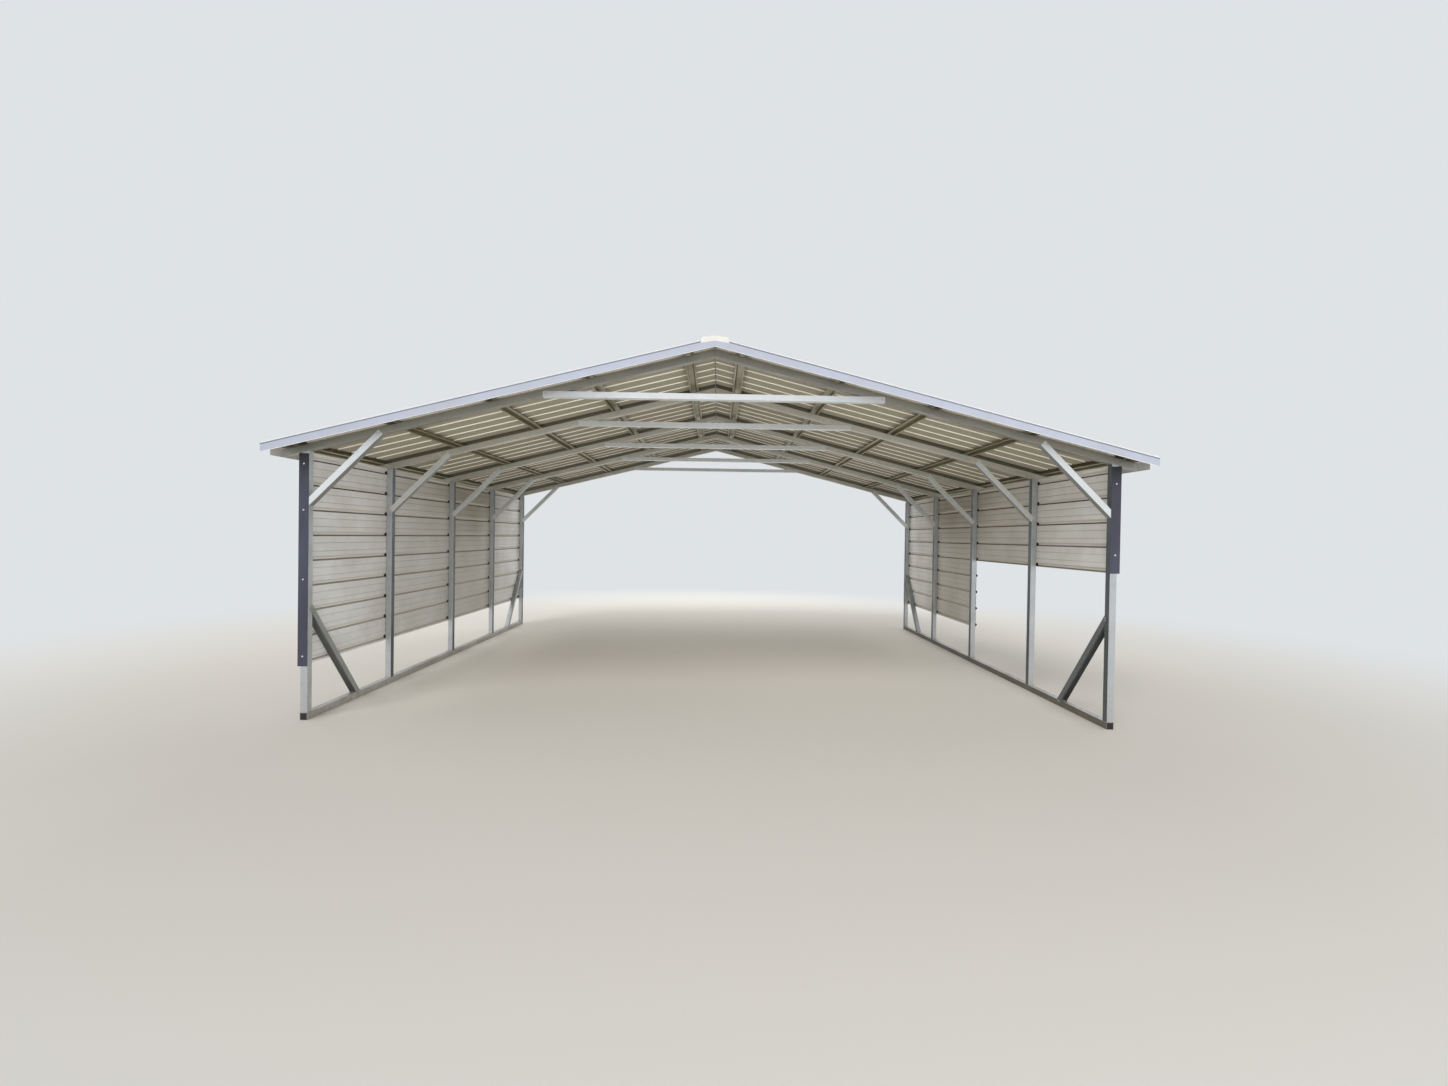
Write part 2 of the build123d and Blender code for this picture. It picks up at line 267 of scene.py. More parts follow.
def splashed(tree, place, dirt, surface, roughness, metal):
    # Splashed earth and dust: thick at the ground, gone a hand's breadth above it.
    height = add_node(tree, "ShaderNodeSeparateXYZ", None, {"Vector": place})
    low = add_node(tree, "ShaderNodeMapRange", {"From Max": splash_height, "To Min": dirt, "To Max": 0.0},
                   {"Value": height.outputs["Z"]})
    spots = add_node(tree, "ShaderNodeTexNoise", {"Scale": 38.0, "Detail": 6.0, "Roughness": 0.65},
                     {"Vector": place})
    patchy = add_node(tree, "ShaderNodeMapRange", {"From Min": 0.34, "From Max": 0.66}, {"Value": spots})
    share = add_node(tree, "ShaderNodeMath", {"operation": "MULTIPLY"}, {0: low, 1: patchy})
    soiled = add_node(tree, "ShaderNodeMix", {"data_type": "RGBA", 7: linear("#8d7c68")},
                      {0: share, 6: surface})
    rough_mix = add_node(tree, "ShaderNodeMix", {3: 0.9}, {0: share, 2: roughness})
    metal_mix = add_node(tree, "ShaderNodeMix", {3: 0.0}, {0: share, 2: metal})
    return soiled.outputs[2], rough_mix, metal_mix


print("Earth splashes up to", splash_height, "m")

# %% A zinc surface with spangle, streaks and weathering
def zinc(name, bright, dull, along, spangle_size=0.010, dirt=0.0, shaded_faces=()):
    material, tree, place = blank_material(name)
    cells = add_node(tree, "ShaderNodeTexVoronoi", {"Scale": 1 / spangle_size}, {"Vector": place})
    crystal = add_node(tree, "ShaderNodeSeparateColor", None, {"Color": cells.outputs["Color"]})
    thin = [6.0 if axis == along else 260.0 for axis in "xyz"]
    stretched = add_node(tree, "ShaderNodeMapping", {"Scale": thin}, {"Vector": place})
    streaks = add_node(tree, "ShaderNodeTexNoise", {"Scale": 1.0, "Detail": 2.0}, {"Vector": stretched})
    cloud = add_node(tree, "ShaderNodeTexNoise", {"Scale": 2.6, "Detail": 5.0, "Roughness": 0.6},
                     {"Vector": place})
    # How dull the zinc is, from 0 to 1: mostly the clouds, then single crystals and streaks.
    weather = add_node(tree, "ShaderNodeMapRange", {"From Min": 0.38, "From Max": 0.68, "To Max": 0.62},
                       {"Value": cloud})
    sparkle = add_node(tree, "ShaderNodeMath", {"operation": "MULTIPLY_ADD", 1: 0.26},
                       {0: crystal.outputs["Red"], 2: weather})
    rolled = add_node(tree, "ShaderNodeMath", {"operation": "MULTIPLY_ADD", 1: 0.3},
                      {0: streaks, 2: sparkle})
    dullness = add_node(tree, "ShaderNodeMapRange", {"From Min": 0.1, "From Max": 1.1}, {"Value": rolled})
    colour = add_node(tree, "ShaderNodeMix", {"data_type": "RGBA", 6: linear(bright), 7: linear(dull)},
                      {0: dullness})
    roughness = add_node(tree, "ShaderNodeMapRange", {"To Min": 0.3, "To Max": 0.56}, {"Value": dullness})
    metal = add_node(tree, "ShaderNodeMapRange", {"To Min": 0.9, "To Max": 0.55}, {"Value": dullness})
    surface = painted_face_shade(tree, place, colour.outputs[2], shaded_faces)
    if dirt > 0:
        surface, roughness, metal = splashed(tree, place, dirt, surface, roughness, metal)
    bump = add_node(tree, "ShaderNodeBump", {"Strength": 0.12, "Distance": 0.0004}, {"Height": rolled})
    skin = add_node(tree, "ShaderNodeBsdfPrincipled", None,
                    {"Base Color": surface, "Roughness": roughness, "Metallic": metal, "Normal": bump})
    add_node(tree, "ShaderNodeOutputMaterial", None, {"Surface": skin})
    return material


# Posts: painted shade on the faces that look in under the roof.
zinc_upright = zinc("galvanised_tube_upright", "#d4d7da", "#b2b5b7", "z", dirt=0.35,
                    shaded_faces=[("in", "#808486")])
# The rails are one tube in two tones, a darker left and a lighter right copy, as painted light and shade.
# The right rail also gets painted shade on its inner face.
zinc_rail_left = zinc("galvanised_tube_left_rail", "#d0cfcc", "#a8a49e", "y", dirt=0.7)
zinc_rail_right = zinc("galvanised_tube_right_rail", "#dcdad6", "#b4b0a9", "y", dirt=0.7,
                       shaded_faces=[("in", "#8a8c8c")])
# The front rafter is a darker copy, painted shade under the rake trim. The other rafters get a brighter
# copy, painted light.
zinc_front_rafter_shaded = zinc("galvanised_tube_front_rafter", "#b2b0a7", "#908d82", "x")
zinc_rafter_lit = zinc("galvanised_tube_rafter", "#dfddd4", "#b9b6aa", "x")
print("Zinc spangle drawn at 10 mm")

# %% [markdown]
# ## Folded zinc strip
# Braces and purlins are folded from thinner strip with a much finer spangle, so they look
# brighter and plainer than the tubes. The same function makes them with 4 mm crystals. The knee
# braces get painted shade on faces that look down, and the corner braces and the purlins get
# darker copies of the strip as painted shade.

# %% Brighter strip for braces, and darker copies as painted shade
# Knee braces: painted shade on faces that look down.
strip_brace = zinc("galvanised_strip_brace", "#f2f4f5", "#d6d8d8", "x", 0.004,
                   shaded_faces=[("down", "#a9acaa")])
strip_tie = zinc("galvanised_strip_tie", "#eceeef", "#cfd1d1", "x", 0.004)
# Corner braces: a darker copy of the strip as painted shade, and on the right also painted shade on faces
# that look in.
strip_left_corner = zinc("galvanised_strip_left_corner", "#b4b7b7", "#929595", "z", 0.004, dirt=0.5)
strip_right_corner = zinc("galvanised_strip_right_corner", "#b4b7b7", "#929595", "z", 0.004, dirt=0.5,
                          shaded_faces=[("in", "#b5b8b9")])
# Purlins: a darker olive copy of the strip, painted shade under the roof.
strip_purlin = zinc("galvanised_strip_purlin", "#a8a389", "#878268", "y", 0.004)
print("Strip spangle drawn at 4 mm")

# %% [markdown]
# ## Values of the drawing
# Some things below have to know where the tubes, purlins and ribs are: the dust in their
# corners and every screw. These are the values of the drawing, in metres: the tubes, the pitch
# of the ribs, the lines of the purlins and the slope of three in twelve. The frames' places are
# read from the boxes of the posts.

# %% Values of the drawing
slope = math.atan2(3, 12)
tube = 0.0635
stub = 0.1524
half_width = 3.6575
rail_end = 3.048
eave = 2.387
purlin_height = 0.038
under_ridge = eave + half_width * math.tan(slope)
top_ridge = under_ridge + tube / math.cos(slope)
pan_ridge = top_ridge + purlin_height / math.cos(slope)
wall_plane = 3.6600
rib_pitch = 0.2286
rib_count = 29
rib_rise = 0.0203
rib_lines = [(number - (rib_count - 1) / 2) * rib_pitch for number in range(rib_count)]
gauge = 0.0005
fit_gap = 0.0003
purlin_count = 5
purlin_first = 0.235
purlin_last = 3.7265
purlin_gap = (purlin_last - purlin_first) / (purlin_count - 1)
purlin_lines = [purlin_first + purlin_gap * number for number in range(purlin_count)]
frame_places = []
for number in range(1, 6):
    low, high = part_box("post_left_%d" % number)
    frame_places.append((low.y + high.y) / 2)
print("Frames at", [round(place, 3) for place in frame_places])

# %% [markdown]
# ## Painted sheet
# The sheets are steel coated on a line: polyester paint outside, and inside a thinner backing
# coat that is greyer and warmer. So the colour depends on which way a face looks, and the
# normal tells the two sides apart. Inside, the colour is painted darker away from the open front,
# on a wall also away from the rear and high up, and under the roof it starts darker than on the
# walls: painted shade for the light that fades in under the roof. A noise film of dust lies over
# it. The steep flanks of the ribs are painted pale, a painted highlight for the light that comes
# in level through the open ends. On a wall each rib or bead has a flank that looks upwards, and
# that ledge is painted dark as painted shade. Painted shade also fills the slot over each
# rafter, the outer edge beyond the wall, and the hollow of a rib where it runs behind a post.
# The coat is satin with a faint orange peel. A wide pan of half-millimetre steel is never quite
# flat, and slow noise in the bump gives it those waves. Outside, dust stays in streaks that
# follow the rain: down a wall, and down the slope.

# %% Bands of painted shade, and a mask that is 1 inside them
# Painted shade in the slot over each rafter and at the outer edge beyond each wall. On the walls, painted
# shadow in the hollow of a rib where it runs behind a post.
roof_shade_bands = [("y", place + 0.10, 0.14) for place in frame_places[1:]]
roof_shade_bands += [("x", 3.80, 0.12), ("x", -3.80, 0.12)]
wall_shade_bands = [("y", place, 0.036) for place in frame_places[1:]]


def band_mask(tree, place, bands):
    parts = add_node(tree, "ShaderNodeSeparateXYZ", None, {"Vector": place})
    total = None
    for axis, centre, reach in bands:
        inside = add_node(tree, "ShaderNodeMath", {"operation": "COMPARE", 1: centre, 2: reach},
                          {0: parts.outputs[axis.upper()]})
        if total:
            inside = add_node(tree, "ShaderNodeMath", {"operation": "MAXIMUM"}, {0: inside, 1: total})
        total = inside
    return total


print("Dusty bands:", len(roof_shade_bands), "under the roof and", len(wall_shade_bands), "on the walls")

# %% The inside: its backing coat, painted shade, and the film on it
shade_start = 2.7
wall_shade_full = 0.9
roof_shade_full = 2.9


def backing_coat(tree, place, is_wall, inside, deep_shade):
    film = add_node(tree, "ShaderNodeTexNoise", {"Scale": 1.7, "Detail": 5.0, "Roughness": 0.6},
                    {"Vector": place})
    greyed = add_node(tree, "ShaderNodeMapRange", {"From Min": 0.4, "From Max": 0.7, "To Max": 0.3},
                      {"Value": film})
    parts = add_node(tree, "ShaderNodeSeparateXYZ", None, {"Vector": place})
    # Painted shade: darker away from the open front, on a wall away from the rear as well, and there
    # darker high up.
    shade_full = wall_shade_full if is_wall else roof_shade_full
    shade_depth = add_node(tree, "ShaderNodeMapRange", {"From Min": -shade_start, "From Max": shade_full},
                     {"Value": parts.outputs["Y"]})
    if is_wall:
        from_rear = add_node(tree, "ShaderNodeMapRange", {"From Min": shade_start, "From Max": shade_full},
                             {"Value": parts.outputs["Y"]})
        far_from_ends = add_node(tree, "ShaderNodeMath", {"operation": "MINIMUM"}, {0: shade_depth, 1: from_rear})
        under_eave = add_node(tree, "ShaderNodeMapRange",
                              {"From Min": 1.5, "From Max": 2.3, "To Min": 0.6, "To Max": 1.25},
                              {"Value": parts.outputs["Z"]})
        shade_depth = add_node(tree, "ShaderNodeMath", {"operation": "MULTIPLY"}, {0: far_from_ends, 1: under_eave})
    airy = add_node(tree, "ShaderNodeMix", {"data_type": "RGBA", 6: linear(inside), 7: linear(deep_shade)},
                    {0: shade_depth})
    backing = add_node(tree, "ShaderNodeMix", {"data_type": "RGBA", 7: linear("#a09a88")},
                       {0: greyed, 6: airy.outputs[2]})
    return backing.outputs[2]


# The painted shade grows inwards from this distance before and behind the middle.
print("The film grows inwards from", shade_start, "m before and behind the middle")

# %% Painted shade on the ledges of a wall, and in the hollows behind its posts
hollow_start = wall_plane + 0.004


def wall_painted_shade(tree, place, facing, outward, surface):
    # Painted shade on what looks up: dark on a rib's flank, lighter on the gentler bead's, less low down.
    parts = add_node(tree, "ShaderNodeSeparateXYZ", None, {"Vector": place})
    in_shade = add_node(tree, "ShaderNodeMapRange", {"From Min": 0.6, "From Max": 2.1, "To Min": 0.35},
                         {"Value": parts.outputs["Z"]})
    upward = add_node(tree, "ShaderNodeSeparateXYZ", None, {"Vector": facing})
    faces_up = add_node(tree, "ShaderNodeMapRange", {"From Min": 0.36, "From Max": 0.74},
                       {"Value": upward.outputs["Z"]})
    dust_and_shade = add_node(tree, "ShaderNodeMath", {"operation": "MULTIPLY"}, {0: faces_up, 1: in_shade})
    # The ledge colour is painted shade.
    ledge = add_node(tree, "ShaderNodeMix", {"data_type": "RGBA", 7: linear("#5b5242")},
                     {0: dust_and_shade, 6: surface})
    # Only the hollow of the rib lies beyond the plane of the pans.
    depth = add_node(tree, "ShaderNodeVectorMath", {"operation": "DOT_PRODUCT", 1: outward}, {0: place})
    in_hollow = add_node(tree, "ShaderNodeMath", {"operation": "GREATER_THAN", 1: hollow_start},
                         {0: depth.outputs["Value"]})
    # Painted shadow in the hollow of a rib where it runs behind a post.
    slot = add_node(tree, "ShaderNodeMath", {"operation": "MULTIPLY"},
                    {0: in_hollow, 1: band_mask(tree, place, wall_shade_bands)})
    with_shade = add_node(tree, "ShaderNodeMix", {"data_type": "RGBA", 7: linear("#2e2a24")},
                      {0: slot, 6: ledge.outputs[2]})
    return with_shade.outputs[2]


def roof_painted_shade(tree, place, surface):
    # Painted shade in the bands over the rafters and beyond the walls.
    with_shade = add_node(tree, "ShaderNodeMix", {"data_type": "RGBA", 7: linear("#5e5848")},
                      {0: band_mask(tree, place, roof_shade_bands), 6: surface})
    return with_shade.outputs[2]


print("Hollows start", hollow_start, "m from the middle")

# %% Orange peel and the waves of a wide pan
peel_scale = 420.0
wave_scale = 2.3


def orange_peel(tree, place):
    peel = add_node(tree, "ShaderNodeTexNoise", {"Scale": peel_scale, "Detail": 1.0}, {"Vector": place})
    return add_node(tree, "ShaderNodeBump", {"Strength": 0.1, "Distance": 0.0003}, {"Height": peel})


def pan_waves(tree, place):
    waves = add_node(tree, "ShaderNodeTexNoise", {"Scale": wave_scale, "Detail": 1.0}, {"Vector": place})
    return add_node(tree, "ShaderNodeBump", {"Strength": 0.25, "Distance": 0.008},
                    {"Height": waves, "Normal": orange_peel(tree, place)})


print("Peel of", round(1000 / peel_scale, 1), "mm and waves of", round(1 / wave_scale, 2), "m")

# %% Two-sided paint on thin sheet
def sheet_paint(name, outside, inside, deep_shade, flank, outward, streak_axis):
    material, tree, place = blank_material(name)
    facing = add_node(tree, "ShaderNodeNewGeometry").outputs["True Normal"]
    side = add_node(tree, "ShaderNodeVectorMath", {"operation": "DOT_PRODUCT", 1: outward}, {0: facing})
    is_outside = add_node(tree, "ShaderNodeMath", {"operation": "GREATER_THAN", 1: 0.02},
                          {0: side.outputs["Value"]})
    thin = [0.5 if axis == streak_axis else 9.0 for axis in "xyz"]
    stretched = add_node(tree, "ShaderNodeMapping", {"Scale": thin}, {"Vector": place})
    streaks = add_node(tree, "ShaderNodeTexNoise", {"Scale": 1.0, "Detail": 6.0, "Roughness": 0.62},
                       {"Vector": stretched})
    dust = add_node(tree, "ShaderNodeMapRange", {"From Min": 0.5, "From Max": 0.74, "To Max": 0.3},
                    {"Value": streaks})
    weathered = add_node(tree, "ShaderNodeMix",
                         {"data_type": "RGBA", 6: linear(outside), 7: linear("#b3aea2")}, {0: dust})
    is_wall = outward[2] == 0
    backing = backing_coat(tree, place, is_wall, inside, deep_shade)
    # A pan looks straight in, a rib's flank turns 52 degrees away from that.
    steep = add_node(tree, "ShaderNodeMapRange", {"From Min": -0.72, "From Max": -0.66},
                     {"Value": side.outputs["Value"]})
    # Painted highlight: the steep flanks take the pale flank colour.
    with_flank_highlight = add_node(tree, "ShaderNodeMix", {"data_type": "RGBA", 7: linear(flank)},
                       {0: steep, 6: backing})
    if is_wall:
        with_shade = wall_painted_shade(tree, place, facing, outward, with_flank_highlight.outputs[2])
    else:
        with_shade = roof_painted_shade(tree, place, with_flank_highlight.outputs[2])
    colour = add_node(tree, "ShaderNodeMix", {"data_type": "RGBA"},
                      {0: is_outside, 6: with_shade, 7: weathered.outputs[2]})
    satin = add_node(tree, "ShaderNodeMapRange", {"From Max": 0.3, "To Min": 0.38, "To Max": 0.6},
                     {"Value": dust})
    roughness = add_node(tree, "ShaderNodeMix", {2: 0.78}, {0: is_outside, 3: satin})
    skin = add_node(tree, "ShaderNodeBsdfPrincipled", {"IOR": 1.5},
                    {"Base Color": colour.outputs[2], "Roughness": roughness,
                     "Normal": pan_waves(tree, place)})
    add_node(tree, "ShaderNodeOutputMaterial", None, {"Surface": skin})
    return material


# Under the roof the backing coat and its deepest tone are written darker than on the walls, as painted
# shade. The pale flank colours are painted highlights.
roof_paint = sheet_paint("polyester_painted_roof_sheet", "#dcdee0", "#b0a995", "#7e7866", "#fdf9ee",
                         (0, 0, 1), "x")
left_wall_paint = sheet_paint("polyester_painted_left_wall", "#d9dadb", "#f5f5f4", "#a8a396", "#e2dcd2",
                              (-1, 0, 0), "z")
right_wall_paint = sheet_paint("polyester_painted_right_wall", "#d9dadb", "#f5f4f1", "#a8a294", "#ddd6cb",
                               (1, 0, 0), "z")
print("Sheet paint made for the roof and both walls")

# %% [markdown]
# ## Painted trims
# Rake trims and the ridge cap are folded from the same white coil as the roof, and the corner
# trims from a dark slate one. The rake trims' upright faces are written a darker lavender grey, a
# painted reflection of sky and shade. Their bevels and lips that look up are painted paler as
# painted light, with a painted shadow line under the fold. The corner trims are painted darker
# close under the eave as painted shade. Trims stand in the weather and hold a film of dust,
# which shows most on the dark ones as paler patches.

# %% Painted light and shade on a trim's folds, and painted shade under the eave
crease_line = pan_ridge + 0.0020
crease_reach = 0.0060


def fold_light_and_shade(tree, place, lit_upward, surface):
    # A painted shadow line just under the bevel's fold.
    parts = add_node(tree, "ShaderNodeSeparateXYZ", None, {"Vector": place})
    run = add_node(tree, "ShaderNodeMath", {"operation": "ABSOLUTE"}, {0: parts.outputs["X"]})
    fallen = add_node(tree, "ShaderNodeMath", {"operation": "MULTIPLY_ADD", 1: math.tan(slope)},
                      {0: run, 2: parts.outputs["Z"]})
    crease = add_node(tree, "ShaderNodeMath", {"operation": "COMPARE", 1: crease_line, 2: crease_reach},
                      {0: fallen})
    crease_shaded = add_node(tree, "ShaderNodeMix", {"data_type": "RGBA", 7: linear("#7b7f8e")},
                       {0: crease, 6: surface})
    # A bevel or a lip that looks up is painted paler than the upright face under it: painted light.
    normal = add_node(tree, "ShaderNodeNewGeometry").outputs["True Normal"]
    up_share = add_node(tree, "ShaderNodeSeparateXYZ", None, {"Vector": normal})
    looks_up = add_node(tree, "ShaderNodeMath", {"operation": "GREATER_THAN", 1: 0.5},
                        {0: up_share.outputs["Z"]})
    paler = add_node(tree, "ShaderNodeMix", {"data_type": "RGBA", 7: linear(lit_upward)},
                     {0: looks_up, 6: crease_shaded.outputs[2]})
    return paler.outputs[2]


def eave_in_shade(tree, place, in_shade, surface):
    # Painted shade close under the eave, fading out downwards.
    height = add_node(tree, "ShaderNodeSeparateXYZ", None, {"Vector": place})
    near_eave = add_node(tree, "ShaderNodeMapRange", {"From Min": 2.16, "From Max": 2.36},
                         {"Value": height.outputs["Z"]})
    eave_shadow = add_node(tree, "ShaderNodeMix", {"data_type": "RGBA", 7: linear(in_shade)},
                    {0: near_eave, 6: surface})
    return eave_shadow.outputs[2]


# The width of the painted shadow line under the fold.
print("The line of dirt is", round(crease_reach * 2000), "mm wide")

# %% Coil paint for trims
def trim_paint(name, colour, dust_and_shade, dust_share, roughness, lit_upward=None, in_shade=None):
    material, tree, place = blank_material(name)
    stretched = add_node(tree, "ShaderNodeMapping", {"Scale": (3.0, 3.0, 1.1)}, {"Vector": place})
    patches = add_node(tree, "ShaderNodeTexNoise", {"Scale": 1.0, "Detail": 6.0, "Roughness": 0.6},
                       {"Vector": stretched})
    film = add_node(tree, "ShaderNodeMapRange", {"From Min": 0.38, "From Max": 0.7, "To Max": dust_share},
                    {"Value": patches})
    coat = add_node(tree, "ShaderNodeMix", {"data_type": "RGBA", 6: linear(colour), 7: linear(dust_and_shade)},
                    {0: film})
    surface = coat.outputs[2]
    if lit_upward:
        surface = fold_light_and_shade(tree, place, lit_upward, surface)
    if in_shade:
        surface = eave_in_shade(tree, place, in_shade, surface)
    sheen = add_node(tree, "ShaderNodeMapRange",
                     {"From Max": dust_share, "To Min": roughness, "To Max": roughness + 0.2},
                     {"Value": film})
    skin = add_node(tree, "ShaderNodeBsdfPrincipled", {"IOR": 1.5},
                    {"Base Color": surface, "Roughness": sheen, "Normal": orange_peel(tree, place)})
    add_node(tree, "ShaderNodeOutputMaterial", None, {"Surface": skin})
    return material


# Rake trims: a lavender grey darker than the coil, as painted reflection and shade, with their upward
# faces painted paler.
white_trim = trim_paint("polyester_painted_white_trim", "#b6bac9", "#aaadb6", 0.6, 0.34, "#f6f5f1")
ridge_paint = trim_paint("polyester_painted_ridge_cap", "#e6e3dd", "#cfcbc2", 0.5, 0.36)
# Slate corner trims: painted shade close under the eave.
slate_trim = trim_paint("polyester_painted_slate_trim", "#373742", "#4e5166", 0.6, 0.38,
                        in_shade="#1d1d22")
print("Trim paint made in white and slate")

# %% [markdown]
# ## Moulded plastic
# The plugs in the ends of the base rails are moulded from black plastic. A matt spark-eroded
# mould gives them a fine grain, and grit in the grain makes them slightly grey.

# %% Black plastic for the plugs
plug_plastic = trim_paint("moulded_black_plastic", "#17181a", "#3a3835", 0.5, 0.5)
print("Plug plastic made")

# %% [markdown]
# ## Dress the CAD nodes
# Each CAD solid keeps its mesh, and only its material slots change. A table from the start of
# a node's name to its finish dresses them all, and it fails loudly if a node has none.

# %% Give every node its finish
finishes = {
    "base_rail_left": zinc_rail_left,
    "base_rail_right": zinc_rail_right,
    "rail_end_plugs": plug_plastic,
    "rail_stubs": zinc_upright,
    "post": zinc_upright,
    "rafter_left_1": zinc_front_rafter_shaded,
    "rafter_right_1": zinc_front_rafter_shaded,
    "rafter": zinc_rafter_lit,
    "knee_braces": strip_brace,
    "collar_ties": strip_tie,
    "corner_braces_left": strip_left_corner,
    "corner_braces_right": strip_right_corner,
    "purlins": strip_purlin,
    "roof_sheets": roof_paint,
    "upper_wall_sheet_left": left_wall_paint,
    "lower_wall_sheet_left": left_wall_paint,
    "upper_wall_sheet_right": right_wall_paint,
    "lower_wall_sheet_right": right_wall_paint,
    "ridge_cap": ridge_paint,
    "rake_trim": white_trim,
    "corner_trim": slate_trim,
}
for name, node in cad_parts.items():
    starts = [start for start in finishes if name.startswith(start)]
    node.data.materials.clear()
    node.data.materials.append(finishes[starts[0]])
print("Dressed", len(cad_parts), "nodes with", len(finishes), "finishes")

# %% [markdown]
# ## Upper lips of the wall sheets
# On site the top sheet of a wall is cut out around each rafter, and between the rafters it runs
# on up to the purlin at the eave. The CAD sheet ends under the rafters, so those tongues are
# added here: a flat strip of the same steel in each bay, with its top corners nipped off as
# tin snips leave them.

# %% Tongues of sheet between the rafters
tongue_top = 2.4010
tongue_play = 0.003
nipped = 0.008


def wall_tongues(name, side, finish):
    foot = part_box("upper_wall_sheet_left")[1].z
    corners = []
    faces = []
    for near, far in zip(frame_places, frame_places[1:]):
        start = near + tube / 2 + tongue_play
        end = far - tube / 2 - tongue_play
        outline = [(start, foot), (end, foot), (end, tongue_top - nipped), (end - nipped, tongue_top),
                   (start + nipped, tongue_top), (start, tongue_top - nipped)]
        count = len(outline)
        inner = [len(corners) + i for i in range(count)]
        outer = [i + count for i in inner]
        corners += [(side * wall_plane, y, z) for y, z in outline]
        corners += [(side * (wall_plane + gauge), y, z) for y, z in outline]
        faces += [inner, outer[::-1]]
        for i in range(count):
            j = (i + 1) % count
            faces.append([inner[i], outer[i], outer[j], inner[j]])
    if side > 0:
        faces = [face[::-1] for face in faces]
    piece = mesh_object(name, corners, faces, finish)
    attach(piece, "root")
    print(name, len(piece.data.polygons), "faces")


wall_tongues("wall_tongues_left", -1, left_wall_paint)
wall_tongues("wall_tongues_right", 1, right_wall_paint)

# %% [markdown]
# ## Eave trims
# Beyond the end of the front rafter the photograph shows a pale strip that hangs from the edge
# of the roof and runs back along the side: a drip trim, about as deep as the rake trims. It is
# folded from the same white coil, with a flange that hooks under the sheets and a narrow hem
# below. It is thin and long, so one section drawn once and drawn out along the eave makes it.

# %% Fold the eave trims
trim_face = 3.9020
trim_foot = 2.3520
trim_top = 2.4302
flange_end = (3.8770, 2.43645)
hem = 0.0105
eave_trim_half = 3.10


def eave_trim(name, side):
    outer = [(trim_face - hem, trim_foot), (trim_face, trim_foot), (trim_face, trim_top), flange_end]
    inner = [(flange_end[0] - 0.0001, flange_end[1] - gauge), (trim_face - gauge, trim_top - 0.0006),
             (trim_face - gauge, trim_foot + gauge), (trim_face - hem, trim_foot + gauge)]
    section = outer + inner
    count = len(section)
    corners = [(side * x, y, z) for y in (-eave_trim_half, eave_trim_half) for x, z in section]
    faces = [list(range(count)), list(range(2 * count - 1, count - 1, -1))]
    for i in range(count):
        j = (i + 1) % count
        faces.append([i, i + count, j + count, j])
    if side < 0:
        faces = [face[::-1] for face in faces]
    piece = mesh_object(name, corners, faces, ridge_paint)
    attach(piece, "root")
    print(name, round(piece.dimensions.y, 2), "m long")


eave_trim("eave_trim_left", -1)
eave_trim("eave_trim_right", 1)

# %% [markdown]
# ## Screws
# All of it is held by self-drilling screws: a hexagon head on a round flange, and under the
# heads on the sheets a rubber washer that seals the hole. There are hundreds, all alike, so
# they are the classic task for Geometry Nodes: one screw is built in the tree, and set on every
# point of a mesh. An attribute on each point says which way its screw faces. Each is turned at
# random about its own axis, as real ones stop anywhere.

# %% A Geometry Nodes tree that sets a screw on each point
def new_tree(name, inputs):
    tree = bpy.data.node_groups.new(name, "GeometryNodeTree")
    for label, kind, value in inputs:
        socket = tree.interface.new_socket(label, in_out="INPUT", socket_type="NodeSocket" + kind)
        if value is not None:
            socket.default_value = value
    tree.interface.new_socket("Result", in_out="OUTPUT", socket_type="NodeSocketGeometry")
    return tree, add_node(tree, "NodeGroupInput").outputs


screws, given = new_tree("washer_head_screws", [
    ("Places", "Geometry", None),
    ("Washer Radius", "Float", 0.007),
    ("Head Radius", "Float", 0.0045),
    ("Head Height", "Float", 0.0048),
    ("Rubber Height", "Float", 0.0015),
    ("Seed", "Int", 7),
    ("Head Finish", "Material", None),
    ("Rubber Finish", "Material", None),
])
rubber = add_node(screws, "GeometryNodeMeshCone", {"Vertices": 12},
                  {"Radius Bottom": given["Washer Radius"], "Radius Top": given["Washer Radius"],
                   "Depth": given["Rubber Height"]})
marked = add_node(screws, "GeometryNodeStoreNamedAttribute",
                  {"data_type": "BOOLEAN", "domain": "FACE", "Name": "rubber", "Value": True},
                  {"Geometry": rubber})
rise = add_node(screws, "ShaderNodeCombineXYZ", None, {"Z": given["Rubber Height"]})
dish_radius = add_node(screws, "ShaderNodeMath", {"operation": "MULTIPLY", 1: 0.8},
                       {0: given["Washer Radius"]})
dish = add_node(screws, "GeometryNodeMeshCone", {"Vertices": 12, "Depth": 0.0012},
                {"Radius Bottom": given["Washer Radius"], "Radius Top": dish_radius})
head_top = add_node(screws, "ShaderNodeMath", {"operation": "MULTIPLY", 1: 0.93},
                    {0: given["Head Radius"]})
head = add_node(screws, "GeometryNodeMeshCone", {"Vertices": 6},
                {"Radius Bottom": given["Head Radius"], "Radius Top": head_top,
                 "Depth": given["Head Height"]})
steel = add_node(screws, "GeometryNodeJoinGeometry")
for part in (dish, head):
    lifted = add_node(screws, "GeometryNodeTransform", None, {"Geometry": part, "Translation": rise})
    screws.links.new(lifted.outputs[0], steel.inputs[0])
screws.links.new(marked.outputs[0], steel.inputs[0])
print("One screw is built")

